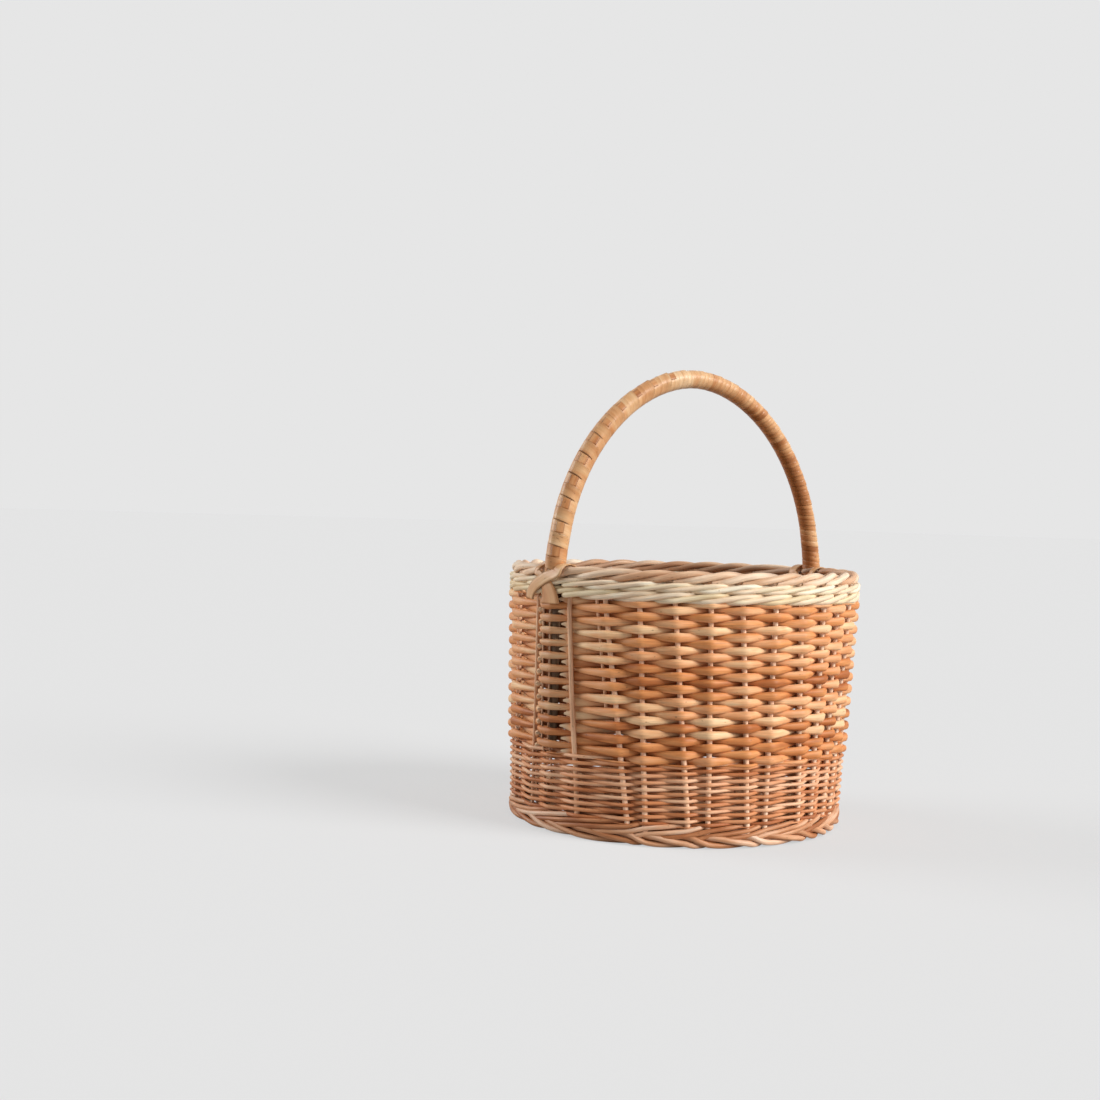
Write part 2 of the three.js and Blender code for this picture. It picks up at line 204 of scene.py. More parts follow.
def add_rod(bundle, path, tall, thick, tone, lead=UP, sides=10, painted_shade=0.0, cut=0.0):
    """Adds one rod to a bundle. It is tall along lead and thick across it, and follows the path's points."""
    path = np.asarray(path, float)
    count = len(path)
    tall, thick, painted_shade, cut = (per_point(value, count) for value in (tall, thick, painted_shade, cut))
    run = unit(np.gradient(path, axis=0))
    across = unit(np.cross(run, np.broadcast_to(lead, run.shape)))
    along_lead = np.cross(across, run)
    angles = np.arange(sides) * 2 * math.pi / sides
    aside, aloft = (thick / 2)[:, None] * np.cos(angles), (tall / 2)[:, None] * np.sin(angles)
    rings = path[:, None] + across[:, None] * aside[..., None] + along_lead[:, None] * aloft[..., None]
    far = distances(path) + dice.uniform(0, GRAIN_SHIFT)
    grain = np.stack([np.broadcast_to(far[:, None], aside.shape), aside, aloft], axis=-1)
    bundle["points"].append(rings.reshape(-1, 3))
    bundle["grain"].append(grain.reshape(-1, 3))
    bundle["tone"].append(np.full(count * sides, tone))
    # Painted shade: how much the dark tone darkens each point.
    bundle["painted_shade"].append(np.repeat(painted_shade, sides))
    bundle["cut"].append(np.repeat(cut, sides))
    join_rings(bundle, count, sides)
    bundle["count"] += count * sides
    for i, flip in ((0, True), (count - 1, False)):
        base = bundle["count"]
        bundle["points"].append(np.vstack([rings[i], path[i : i + 1]]))
        bundle["grain"].append(np.vstack([grain[i], grain[i].mean(axis=0, keepdims=True)]))
        bundle["tone"].append(np.full(sides + 1, tone))
        bundle["painted_shade"].append(np.full(sides + 1, painted_shade[i]))
        bundle["cut"].append(np.ones(sides + 1))
        for j in range(sides):
            k = (j + 1) % sides
            corners = (base + k, base + j) if flip else (base + j, base + k)
            bundle["faces"].append((*corners, base + sides))
        bundle["count"] += sides + 1


def put_in_scene(name, data):
    item = bpy.data.objects.new(name, data)
    bpy.context.scene.collection.objects.link(item)
    return item


def make_piece(name, bundle, material, nodes):
    """One mesh of a bundle's rods with its material, which stands in for CAD nodes and hides them."""
    mesh = bpy.data.meshes.new(name)
    points = np.vstack(bundle["points"]) * MM
    mesh.from_pydata(points.tolist(), [], bundle["faces"])
    for label in ("tone", "painted_shade", "cut"):
        values = mesh.attributes.new(label, "FLOAT", "POINT")
        values.data.foreach_set("value", np.concatenate(bundle[label]).astype(np.float32))
    grain = mesh.attributes.new("grain", "FLOAT_VECTOR", "POINT")
    grain.data.foreach_set("vector", np.vstack(bundle["grain"]).astype(np.float32).ravel())
    mesh.polygons.foreach_set("use_smooth", [True] * len(mesh.polygons))
    mesh.materials.append(material)
    mesh.update()
    piece = put_in_scene(name, mesh)
    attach(piece, "root")
    if nodes:
        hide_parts(*nodes)


# How fast peeled willow's marks change, per millimetre along a rod and twice across it.
MOTTLE_GRAIN, STREAK_GRAIN, SCAR_GRAIN = (0.028, 0.16, 0.16), (0.05, 1.3, 1.3), (0.22, 0.5, 0.5)
# How strongly the blotches, the leaf scars and the painted shade mark the colour.
MOTTLE_STRENGTH, SCAR_STRENGTH, PAINTED_SHADE_STRENGTH = 0.28, 0.55, 0.62


def willow(name, tones, scar_and_shade, pith, rough, streak=0.22, relief=0.4, sheen=0.05):
    """Peeled willow: a tone for each rod, blotches and fine streaks along the grain, leaf scars, painted shade
    in the same dark tone as the scars where the rod is tucked in or shaded, and pith where it is cut."""
    material = bpy.data.materials.new(name)
    material.use_nodes = True
    tree = material.node_tree
    nodes, links = tree.nodes, tree.links
    shader = nodes["Principled BSDF"]

    def read(label, output):
        node = nodes.new("ShaderNodeAttribute")
        node.attribute_name = label
        return node.outputs[output]

    def noise(scale, detail, roughness=0.5):
        stretched = nodes.new("ShaderNodeVectorMath")
        stretched.operation = "MULTIPLY"
        links.new(read("grain", "Vector"), stretched.inputs[0])
        stretched.inputs[1].default_value = scale
        node = nodes.new("ShaderNodeTexNoise")
        node.inputs["Scale"].default_value = 1.0
        node.inputs["Detail"].default_value = detail
        node.inputs["Roughness"].default_value = roughness
        links.new(stretched.outputs["Vector"], node.inputs["Vector"])
        return node.outputs["Fac"]

    def spread(value, low, high, to_low, to_high):
        node = nodes.new("ShaderNodeMapRange")
        node.inputs["From Min"].default_value = low
        node.inputs["From Max"].default_value = high
        node.inputs["To Min"].default_value = to_low
        node.inputs["To Max"].default_value = to_high
        links.new(value, node.inputs["Value"])
        return node.outputs["Result"]

    def blend(mode, factor, first, second):
        node = nodes.new("ShaderNodeMix")
        node.data_type = "RGBA"
        node.blend_type = mode
        for value, socket in ((factor, node.inputs[0]), (first, node.inputs[6]), (second, node.inputs[7])):
            if isinstance(value, bpy.types.NodeSocket):
                links.new(value, socket)
            else:
                socket.default_value = value
        return node.outputs[2]

    ramp = nodes.new("ShaderNodeValToRGB")
    while len(ramp.color_ramp.elements) < len(tones):
        ramp.color_ramp.elements.new(0.5)
    for i, colour in enumerate(tones):
        ramp.color_ramp.elements[i].position = i / (len(tones) - 1)
        ramp.color_ramp.elements[i].color = (*colour, 1)
    mottle = noise(MOTTLE_GRAIN, 2.0)
    shifted = nodes.new("ShaderNodeMath")
    shifted.operation = "ADD"
    shifted.use_clamp = True
    links.new(read("tone", "Fac"), shifted.inputs[0])
    links.new(spread(mottle, 0.3, 0.7, -MOTTLE_STRENGTH, MOTTLE_STRENGTH), shifted.inputs[1])
    links.new(shifted.outputs["Value"], ramp.inputs["Fac"])
    streaks = noise(STREAK_GRAIN, 4.0, 0.6)
    streak_tone = spread(streaks, 0.25, 0.75, 1 - streak, 1 + streak)
    colour = blend("MULTIPLY", 1.0, ramp.outputs["Color"], streak_tone)
    scars = noise(SCAR_GRAIN, 1.0)
    colour = blend("MIX", spread(scars, 0.72, 0.8, 0.0, SCAR_STRENGTH), colour, (*scar_and_shade, 1))
    # Painted shade: the dark tone where a point is tucked in or shaded.
    colour = blend("MIX", spread(read("painted_shade", "Fac"), 0.0, 1.0, 0.0, PAINTED_SHADE_STRENGTH), colour, (*scar_and_shade, 1))
    colour = blend("MIX", read("cut", "Fac"), colour, (*pith, 1))
    links.new(colour, shader.inputs["Base Color"])
    links.new(spread(streaks, 0.3, 0.7, rough - 0.08, rough + 0.1), shader.inputs["Roughness"])
    bump = nodes.new("ShaderNodeBump")
    bump.inputs["Strength"].default_value = relief
    bump.inputs["Distance"].default_value = 0.4 * MM
    links.new(streaks, bump.inputs["Height"])
    links.new(bump.outputs["Normal"], shader.inputs["Normal"])
    shader.inputs["Specular IOR Level"].default_value = 0.25
    shader.inputs["Coat Weight"].default_value = sheen
    shader.inputs["Coat Roughness"].default_value = 0.35
    return material


stake_willow = willow(
    "stake_willow",
    tones=[(0.64, 0.35, 0.2), (0.8, 0.5, 0.31), (0.88, 0.6, 0.41), (0.91, 0.69, 0.5)],
    scar_and_shade=(0.17, 0.07, 0.03),
    pith=(0.76, 0.6, 0.42),
    rough=0.5,
)
stakes = new_bundle()
stake_numbers = [k for k in range(UPRIGHTS) if k not in BOW_ENDS]
for k in stake_numbers:
    heights = np.linspace(STAKE_FOOT, STAKE_TOP, 60)
    azimuth = azimuth_at(k, heights)
    waver = smooth_noise(300 + k, 9)
    sway = 0.0025 * smooth_noise(400 + k, 7)(heights / 40)
    stand_out = STAND_OUT.get(k, 0) * fade(heights, *STAND_OUT_START) * fade(heights, *STAND_OUT_END)
    offset = STAKE_OFFSET + STAKE_PROUD + LOW_PROUD * fade(heights, *LOW_PROUD_FADE)
    offset = offset + 0.3 * waver(heights / 26) + stand_out
    width = STAKE_DIAMETER * (1.04 - 0.1 * heights / RIM_HEIGHT) * (1 + 0.04 * waver(heights / 17))
    width = width * BESIDE_BOW_WIDTHS.get(k, 1)
    tone = BESIDE_BOW_TONE if k in STAND_OUT else dice.uniform(0.35, 0.95)
    path = wall_point(azimuth + sway, heights, offset)
    add_rod(stakes, path, width, width, tone, lead=round_wall(azimuth), sides=12)
make_piece("stakes", stakes, stake_willow, [f"stake_{k:02d}" for k in stake_numbers])

# The weave: thin rods in the low band and thick buff rods above, each passing outside one stake and inside the
# next, so that neighbouring rows change places. Two rods chase each other up in a spiral, spliced end to end.
# At the handle's ends every second row is cut beside the bow, and its other end is tucked in behind the bow.
BOW_END_THICK = 6.6
BOW_PLATEAU = 0.2
ROD_GAP = 0.1
WEAVE_CREST = 0.03
# For each band: its heights and an odd number of rows, a rod's height and thickness where it passes outside an
# upright, whether it meets the handle's ends, how its mesh is divided, and how uneven and how slanting it lies.
MAIN_BAND = {
    "bottom": 67.6, "top": 201.6, "rows": 25, "full": 7.8, "thick": 5.4, "seed": 21, "past_bow": True,
    "steps": 14, "sides": 12, "wander": 0.04, "slant": 0.25,
}
FINE_BAND = {
    "bottom": 17.4, "top": 70.4, "rows": 19, "full": 3.25, "thick": 3.2, "seed": 22, "past_bow": False,
    "steps": 12, "sides": 10, "wander": 0.09, "slant": 0.9,
}
# How much a rod narrows on its way inside, and how far two rods of a band lap where one follows the other.
SQUEEZE = 1.5
SPLICE, SHORTEST = 0.7, 12
# How far a rod's butt and tip slip in behind the wall, and how a cut end narrows and stands out from it.
BUTT_IN, TIP_IN = 1.4, 1.8
CUT_NARROW, CUT_OUT = 0.34, 2.2
# Over this way to the handle's end a rod flattens and darkens with painted shade.
TO_BOW = (0.91, 0.21)
# Where a cut rod begins and ends, from one end of the handle to the next, and where the tucked one lies.
CUT_STARTS, CUT_ENDS = (0.44, 0.66), (15.2, 15.42)
TUCKED_START, TUCKED_END = -0.98, 0.5
TUCKED_OFFSET = STAKE_OFFSET - BOW_END_THICK / 2 - 1.9
# Tucked ends of the thick rods fill the wall from inside where the two bands meet, darkened with painted shade.
MEETING_HEIGHTS, MEETING_OFFSET = (64.8, 69.6), -1.6
MEETING_TALL, MEETING_THICK = 5.2, 2.8


def passing_offset(k, sides_at, thick, past_bow, crest):
    """How far out a rod lies at k. It passes each upright outside or inside, as sides_at says, runs straight
    across the wall between two, and bends over a short crest where it passes one."""

    def at_upright(number):
        on_bow = past_bow & (number % HALF_LAP == 0)
        reach = np.where(on_bow, BOW_END_THICK, STAKE_DIAMETER) / 2 + thick / 2 + ROD_GAP
        return sides_at(number) * reach, np.where(on_bow, BOW_PLATEAU, 0.0)

    low = np.floor(k).astype(int)
    (here, first), (following, second) = at_upright(low), at_upright(low + 1)
    across = fade(k - low, first, 1 - second)
    near = np.minimum(across, 1 - across)
    run = np.where(near < crest, near * near / (2 * crest), near - crest / 2) / (1 - crest)
    return here + (following - here) * np.where(across < 0.5, run, 1 - run)


def weave_band(bottom, top, rows, full, thick, seed, past_bow, steps, sides, wander, slant):
    """A band of rows between two heights. A rod is full where it passes an upright and narrow between two."""
    draw = random.Random(seed)
    bundle = new_bundle()
    pitch = (top - bottom) / rows
    sag = smooth_noise(seed + 1, 11)

    def weave_rod(rod, start, end, stops):
        """One rod from start to end, both counted in uprights along its spiral. It stops with cut ends, or
        thins out and slips behind the wall."""
        k = np.linspace(start, end, max(4, int((end - start) * steps)) + 1)
        first = rod * HALF_LAP
        last = first + (rows - 1) * HALF_LAP
        grow = np.clip(np.minimum(k - first, last - k) / HALF_LAP + 1, 0.2, 1)
        height = bottom + pitch / 2 + pitch * (k - first) / HALF_LAP
        height = np.where(k < first, bottom + pitch * grow / 2, height)
        height = np.where(k > last, top - pitch * grow / 2, height)

        def sides_at(number):
            side = np.where((number + rod) % 2 == 0, 1.0, -1.0)
            near = np.abs(from_bow(number))
            if stops:
                return np.where(near == 0, 0.1, np.where(near == 1, -0.25, side))
            return np.where(past_bow & (near == 1), -0.7, side)

        offset = passing_offset(k, sides_at, thick, past_bow, WEAVE_CREST)
        outside = offset / (STAKE_DIAMETER / 2 + thick / 2)
        offset = offset + STAKE_OFFSET
        along = (k + rod + 1) % 2 - 1
        inward = np.abs(along)
        over_bow = fade(np.abs(from_bow(k)), *TO_BOW) * past_bow
        taper = np.interp(k, [start, end], [1.04, 0.97]) * draw.uniform(0.97, 1.04)
        lumps = 1 + wander * smooth_noise(draw.randrange(10**6), 43)(k + 0.5)
        height = height + slant * np.interp(along, [-1, -0.85, 0.85, 1], [0, -0.85, 0.85, 0])
        height = height + wander * pitch * 0.5 * smooth_noise(draw.randrange(10**6), 41)(k)
        height = height + 0.35 * sag(k % UPRIGHTS / UPRIGHTS * 11 + height / 30)
        tall = (full - (full - pitch) * SQUEEZE * inward) * (1 - 0.1 * over_bow) * taper * lumps
        width = thick * (1 - 0.12 * inward) * taper * np.sqrt(grow)
        cut = 0.0
        if stops:
            whole = np.minimum(fade(k, start, start + 0.32), fade(k, end, end - 0.2))
            tall = tall * (CUT_NARROW + (1 - CUT_NARROW) * whole)
            height = height + 0.3 * tall * (1 - whole)
            offset = offset + CUT_OUT * (1 - whole)
            cut = np.clip(1.3 * (1 - whole), 0, 1)
        else:
            butt, tip = fade(k, start, start + 0.5), fade(k, end, end - 0.5)
            tall = tall * (0.6 + 0.4 * tip)
            offset = offset - TIP_IN * (1 - tip) - BUTT_IN * (1 - butt)
        # Painted shade: darker where the rod passes inside an upright and where it lies over the handle's ends.
        painted_shade = np.clip(np.clip(-0.12 - 1.1 * outside, 0, 1) + 0.5 * over_bow, 0, 1)
        path = wall_point(azimuth_at(k, height), height, offset)
        add_rod(bundle, path, tall * grow, width, draw.betavariate(1.7, 1.5), sides=sides, painted_shade=painted_shade, cut=cut)

    for rod in (0, 1):
        first = (rod - 1) * HALF_LAP
        last = first + (rows + 1) * HALF_LAP
        if rod == 1 and past_bow:
            for start in range(first, last, HALF_LAP):
                weave_rod(rod, start + draw.uniform(*CUT_STARTS), start + draw.uniform(*CUT_ENDS), True)
                k = np.linspace(start + TUCKED_START, start + TUCKED_END, 14)
                height = bottom + pitch / 2 + pitch * (k - HALF_LAP) / HALF_LAP
                path = wall_point(azimuth_at(k, height), height, TUCKED_OFFSET)
                # The rod tucked in behind the bow is painted fully in shade.
                add_rod(bundle, path, full * 0.86, 3.4, 0.2, sides=sides, painted_shade=1.0)
            continue
        start = first
        while start < last:
            end = start + 2 * draw.randrange(15, 22)
            if last - end < SHORTEST:
                end = last
            elif (end + rod) % 2 == 0:
                end -= 1
            weave_rod(rod, start - SPLICE * (start > first), end + SPLICE * (end < last), False)
            start = end
    return bundle


main_willow = willow(
    "main_willow",
    tones=[
        (0.42, 0.13, 0.035), (0.58, 0.21, 0.065), (0.7, 0.29, 0.1), (0.74, 0.34, 0.15), (0.8, 0.43, 0.21),
        (0.86, 0.56, 0.31),
    ],
    scar_and_shade=(0.16, 0.05, 0.02),
    pith=(0.74, 0.55, 0.36),
    rough=0.5,
)
fine_willow = willow(
    "fine_willow",
    tones=[(0.4, 0.13, 0.045), (0.56, 0.21, 0.08), (0.66, 0.29, 0.13), (0.72, 0.36, 0.19), (0.8, 0.48, 0.29)],
    scar_and_shade=(0.15, 0.055, 0.025),
    pith=(0.72, 0.55, 0.38),
    rough=0.52,
)
main_weave = weave_band(**MAIN_BAND)
whole_lap = np.linspace(0, UPRIGHTS, 161)
for height in MEETING_HEIGHTS:
    path = wall_point(azimuth_at(whole_lap, height), height, MEETING_OFFSET)
    # Painted shade on the rods inside the wall.
    add_rod(main_weave, path, MEETING_TALL, MEETING_THICK, 0.3, painted_shade=0.6)
make_piece("main_weave", main_weave, main_willow, ["main_weave_rod_1", "main_weave_rod_2"])
fine_weave = weave_band(**FINE_BAND)
make_piece("fine_weave", fine_weave, fine_willow, ["fine_weave_rod_1", "fine_weave_rod_2"])

# The waling: two rows of white willow under the border, which lock the weave. Each rod passes over two
# uprights and behind one, and climbs as it crosses the two, so the row looks like a laid rope.
# For each row: its height, how tall its rods are, and its own seed.
WALE_ROWS = {"lower": (205.5, 4.7, 31), "upper": (213.4, 4.2, 32)}
WALE_THICK, WALE_CREST, WALE_LAP = 4.8, 0.3, 0.35
WALE_START = 2.0


def wale_row(middle, tall, seed):
    """A row of strands that go three times round, so that two lie over each upright and one behind it."""
    draw = random.Random(seed)
    bundle = new_bundle()
    strokes = np.array([1.0, 1.0, -1.0])
    start, last = WALE_START, WALE_START + 3 * UPRIGHTS
    while start < last:
        end = min(start + 3 * draw.randrange(5, 8), last)
        k = np.linspace(start - WALE_LAP, end + WALE_LAP, int((end - start + 2 * WALE_LAP) * 12))
        offset = passing_offset(k, lambda number: strokes[number % 3], WALE_THICK, True, WALE_CREST)
        offset = offset + STAKE_OFFSET
        level = np.interp((k + 0.7) % 3, [0, 0.7, 1.7, 2.4, 3], [-0.7, -0.48, 0.48, 0.7, -0.7])
        rise = tall * level + 0.2 * smooth_noise(draw.randrange(10**6), 30)(k)
        path = wall_point(azimuth_at(k, middle), middle + rise, offset)
        outside = np.clip(offset / WALE_THICK, -1, 1)
        taper = np.interp(k, [start, end], [1.05, 0.94])
        slim = 0.8 + 0.2 * np.clip(outside + 0.3, 0, 1)
        # Painted shade where a strand passes behind an upright.
        painted_shade = np.clip(0.3 - 0.8 * outside, 0, 1)
        tone = draw.uniform(0.1, 1)
        add_rod(bundle, path, tall * taper * slim, WALE_THICK * taper, tone, sides=12, painted_shade=painted_shade)
        start = end
    return bundle


pale_willow = willow(
    "pale_willow",
    tones=[(0.68, 0.48, 0.27), (0.76, 0.6, 0.37), (0.82, 0.68, 0.47), (0.82, 0.61, 0.42), (0.87, 0.76, 0.58)],
    scar_and_shade=(0.26, 0.17, 0.07),
    pith=(0.8, 0.72, 0.52),
    rough=0.5,
)
for place, sizes in WALE_ROWS.items():
    name = f"wale_row_{place}"
    make_piece(name, wale_row(*sizes), pale_willow, [name])

# The border: each stake end is bent over at the rim and laid with its neighbours as a rope of three, which goes
# once round the roll before its tip is tucked away. One strand comes over the top at each stake.
BORDER_ROD = 6.0
BORDER_SPREAD, BORDER_HEIGHT = 3.3, 221.67
# How many stakes a strand passes in one turn and in all, and at what angle it starts, under the roll.
BORDER_LAY, BORDER_REACH, BORDER_START = 3.0, 3.45, math.radians(-100)
# The strands part round the handle by this much, over this share of the way to the next stake.
BORDER_PART, BORDER_PART_LENGTH = 6.2, 0.36

border_willow = willow(
    "border_willow",
    tones=[(0.58, 0.32, 0.18), (0.7, 0.44, 0.27), (0.79, 0.55, 0.37), (0.84, 0.63, 0.45), (0.87, 0.71, 0.54)],
    scar_and_shade=(0.18, 0.07, 0.03),
    pith=(0.78, 0.62, 0.44),
    rough=0.48,
)
border = new_bundle()
draw = random.Random(41)
for stake in range(UPRIGHTS):
    end = stake + BORDER_REACH
    k = np.linspace(stake, end, 52)
    turn = 2 * math.pi * (k - stake) / BORDER_LAY + BORDER_START
    offset, rise = BORDER_SPREAD * np.cos(turn), BORDER_SPREAD * np.sin(turn)
    part = BORDER_PART * np.exp(-((from_bow(k) / BORDER_PART_LENGTH) ** 2))
    offset = np.where(part > np.abs(offset), np.where(offset >= 0, part, -part), offset)
    leave, tip = eased(fade(k, stake, stake + 0.5)), fade(k, end, end - 0.6)
    offset = offset * leave * (0.35 + 0.65 * tip)
    rise = rise * leave - 3.4 * (1 - leave)
    size = BORDER_ROD * draw.uniform(0.94, 1.04) * np.interp(k, [stake, end], [1.0, 0.84]) * (0.5 + 0.5 * tip)
    bumps = 0.25 * smooth_noise(draw.randrange(10**6), 20)(k * 1.5)
    path = wall_point(azimuth_at(k, BORDER_HEIGHT), BORDER_HEIGHT + rise + bumps - 0.2, offset)
    # Painted shade where a strand lies inside the roll and where it bends down from its stake.
    painted_shade = np.clip(np.clip(0.05 - offset / 4.2, 0, 1) + 0.5 * (1 - leave), 0, 1)
    add_rod(border, path, size, size, draw.betavariate(1.6, 1.6), painted_shade=painted_shade, sides=12)
make_piece("border_roll", border, border_willow, ["border_roll"])

# The foot: above, long thin strands that climb to the right outside the stakes, and below them short thick ones
# that fall to the right and turn under, so that the two make a row of arrow shapes. They carry the basket.
# For each layer: how far a strand has gone, in uprights, how far out it lies there and how high, how thick it
# is, and the height and tallness of the rod inside the layer, which the strands lie round and which is dark
# with painted shade.
FOOT_LAYERS = {
    "upper": {
        "gone": (-0.5, -0.1, 0.3, 1.5, 2.5, 2.9, 3.5),
        "out": (-2.2, 1.6, 4.3, 4.9, 4.0, 0.4, -3.4),
        "rise": (9.6, 7.6, 8.0, 12.8, 17.2, 18.4, 17.0),
        "thick": 4.1,
        "core": 14.0,
        "core_tall": 8.6,
        "seed": 42,
    },
    "lower": {
        "gone": (-0.5, -0.15, 0.15, 0.65, 1.15, 1.5, 2.0, 2.5),
        "out": (-1.0, 2.8, 4.5, 4.9, 4.2, 2.2, -2.0, -3.6),
        "rise": (10.6, 10.4, 9.4, 5.9, 3.1, 2.6, 3.0, 8.0),
        "thick": 4.9,
        "core": 6.0,
        "core_tall": 8.4,
        "seed": 43,
    },
}
FOOT_CORE_THICK, FOOT_CORE_OFFSET = 4.4, 0.2
OVER_FLOOR = 0.05


def foot_layer(gone, out, rise, thick, core, core_tall, seed):
    draw = random.Random(seed)
    bundle = new_bundle()
    k = np.linspace(gone[0], gone[-1], 40)
    out_line, rise_line = (
        np.convolve(np.pad(np.interp(k, gone, values), 2, mode="edge"), np.ones(5) / 5, mode="valid")
        for values in (out, rise)
    )
    # Painted shade where a strand lies in at the stakes, and more of it along its first part.
    painted_shade = np.clip(0.55 - out_line / 5, 0, 1) + np.clip(0.34 - 0.42 * (k - gone[1]), 0, 0.34)
    for stake in range(UPRIGHTS):
        size = thick * draw.uniform(0.93, 1.07) * np.linspace(1.04, 0.9, 40)
        height = np.maximum(rise_line + draw.uniform(-0.5, 0.5), size / 2 + OVER_FLOOR)
        path = wall_point(azimuth_at(stake + k, height), height, out_line + draw.uniform(-0.2, 0.2))
        add_rod(bundle, path, size, size, draw.betavariate(1.6, 1.9), painted_shade=np.clip(painted_shade, 0, 1), sides=12)
    # The rod inside the layer is painted fully in shade.
    path = wall_point(azimuth_at(whole_lap, core), core, FOOT_CORE_OFFSET)
    add_rod(bundle, path, core_tall, FOOT_CORE_THICK, 0.0, painted_shade=1.0, sides=12)
    return bundle


foot_willow = willow(
    "foot_willow",
    tones=[(0.36, 0.125, 0.045), (0.5, 0.21, 0.09), (0.62, 0.31, 0.16), (0.72, 0.43, 0.27), (0.82, 0.58, 0.42)],
    scar_and_shade=(0.14, 0.045, 0.018),
    pith=(0.76, 0.58, 0.4),
    rough=0.45,
)
for place, layer in FOOT_LAYERS.items():
    name = f"foot_roll_{place}"
    make_piece(name, foot_layer(**layer), foot_willow, [name])

# The base: eight thick willow sticks crossed four over four and opened out like spokes, with two rods woven
# round them in a spiral from the cross to the foot. The whole is a little domed and stands clear of the floor.
STICK_DIAMETER, STICK_SPACING = 5.8, 6.6
SLATH_HALF, SPOKE_START = 17.0, 30.0
BASE_EDGE, BASE_LIFT, BASE_DOME = 135.0, 17.0, 4.0
BASE_CENTRE = np.array([*(LEAN * (BASE_LIFT / RIM_HEIGHT - 1)), BASE_LIFT])
SPOKES = 16
SPOKE_ANGLE = 2 * math.pi / SPOKES
# The opened sticks are drawn this much closer together than an even spread.
SPOKE_CLOSER = 0.96
BASE_ROD_TALL, BASE_ROD_WIDE = 4.8, 4.9
# The base rods' radius from the middle where they start and end, how far they swing up and down past a stick,
# and how often each goes round.
BASE_ROD_START, BASE_ROD_END = 32.2, 132.8
BASE_ROD_SWING, BASE_TURNS = 4.5, 11


def base_point(x, y, lift):
    x, y, lift = np.broadcast_arrays(x, y, lift)
    dome = BASE_DOME * (1 - (x * x + y * y) / BASE_EDGE**2)
    return np.stack([x, y, dome + lift], axis=-1) + BASE_CENTRE


base_willow = willow(
    "base_willow",
    tones=[(0.4, 0.19, 0.09), (0.54, 0.3, 0.16), (0.64, 0.4, 0.23), (0.7, 0.48, 0.3)],
    scar_and_shade=(0.16, 0.06, 0.025),
    pith=(0.72, 0.55, 0.36),
    rough=0.58,
)
sticks = new_bundle()
reach = np.linspace(-BASE_EDGE, BASE_EDGE, 67)
opened = eased(fade(np.abs(reach), SLATH_HALF, SPOKE_START))
for way in (0, 1):
    for number in range(4):
        place = number - 1.5
        fan = place * SPOKE_ANGLE
        straight = place * STICK_SPACING
        fanned = np.maximum(np.abs(reach), 1) * math.tan(fan) * SPOKE_CLOSER
        aside = straight + (fanned - straight) * opened
        shorter = np.where(np.abs(reach) > SPOKE_START, math.cos(fan), 1)
        lift = (1 if way == 0 else -1) * (STICK_DIAMETER / 2 + 0.2) * (1 - opened)
        x, y = reach * shorter, aside * shorter
        path = base_point(x, y, lift) if way == 0 else base_point(-y, x, lift)
        size = STICK_DIAMETER * (1 + 0.03 * smooth_noise(500 + number + 4 * way, 9)(reach / 30))
        add_rod(sticks, path, size, size, dice.uniform(0.2, 0.9), sides=12)
make_piece("base_sticks", sticks, base_willow, [f"base_stick_{n}" for n in range(1, 9)])

base_weave = new_bundle()
last = BASE_TURNS * SPOKES
for rod in (0, 1):
    draw = random.Random(61 + rod)
    start = 0.0
    while start < last:
        end = min(start + 2 * draw.randrange(20, 30), last)
        spoke = np.linspace(start, end, int((end - start) * 8) + 1)
        azimuth = (spoke + rod * SPOKES / 2 + 0.5) * SPOKE_ANGLE
        radius = BASE_ROD_START + (BASE_ROD_END - BASE_ROD_START) * spoke / last
        weave = np.cos(math.pi * (spoke + rod))
        lift = BASE_ROD_SWING * np.sign(weave) * np.abs(weave) ** 0.8
        path = base_point(radius * np.cos(azimuth), radius * np.sin(azimuth), lift)
        # Painted shade midway between two sticks, where a base rod crosses their level.
        painted_shade = 0.25 - 0.25 * np.abs(weave) ** 0.8
        add_rod(base_weave, path, BASE_ROD_TALL, BASE_ROD_WIDE, draw.betavariate(2, 2), sides=10, painted_shade=painted_shade)
        start = end
make_piece("base_weave", base_weave, base_willow, ["base_weave_rod_1", "base_weave_rod_2"])

# The handle's bow: one thick willow rod, round over the arch and thickest at its root, on the near side. Its
# ends are shaved flat and driven down into the wall, where they keep their dark bark and the weave holds them.
BOW_SPAN, BOW_TOP = 148.5, 395.5
ARCH_SPRING, ARCH_FULLNESS, SHOULDER_RISE = 228.14, 1.9, 25.0
# The bow's diameter at shares of its length, from the far end to the near one.
BOW_SHARES = (0, 0.1, 0.32, 0.5, 0.75, 1)
BOW_DIAMETERS = (14.2, 12.8, 12.8, 13.5, 14.8, 15.6)
BOW_END_WIDE, BOW_END_LOW = 15.4, 77.84
BOW_END_NARROWS, BOW_END_THINS = 4.0, 0.45
BOW_FLATTENS = (214.0, 236.0)


def arch_points(shares):
    angle = math.pi * shares
    across = np.sign(np.cos(angle)) * np.abs(np.cos(angle)) ** (2 / ARCH_FULLNESS)
    rise = np.abs(np.sin(angle)) ** (2 / ARCH_FULLNESS) * (BOW_TOP - ARCH_SPRING)
    shoulder = RIM_RADIUS * math.cos(math.radians(BOW_SHIFT))
    span = shoulder + (BOW_SPAN - shoulder) * np.minimum(1, rise / SHOULDER_RISE)
    return np.stack([span * across, np.full_like(across, BOW_PLANE), ARCH_SPRING + rise], axis=-1)


def evenly(points, count):
    """The same line with its points at equal distances, and its length."""
    far = distances(points)
    places = np.linspace(0, far[-1], count)
    return np.stack([np.interp(places, far, points[:, i]) for i in range(3)], axis=-1), far[-1]


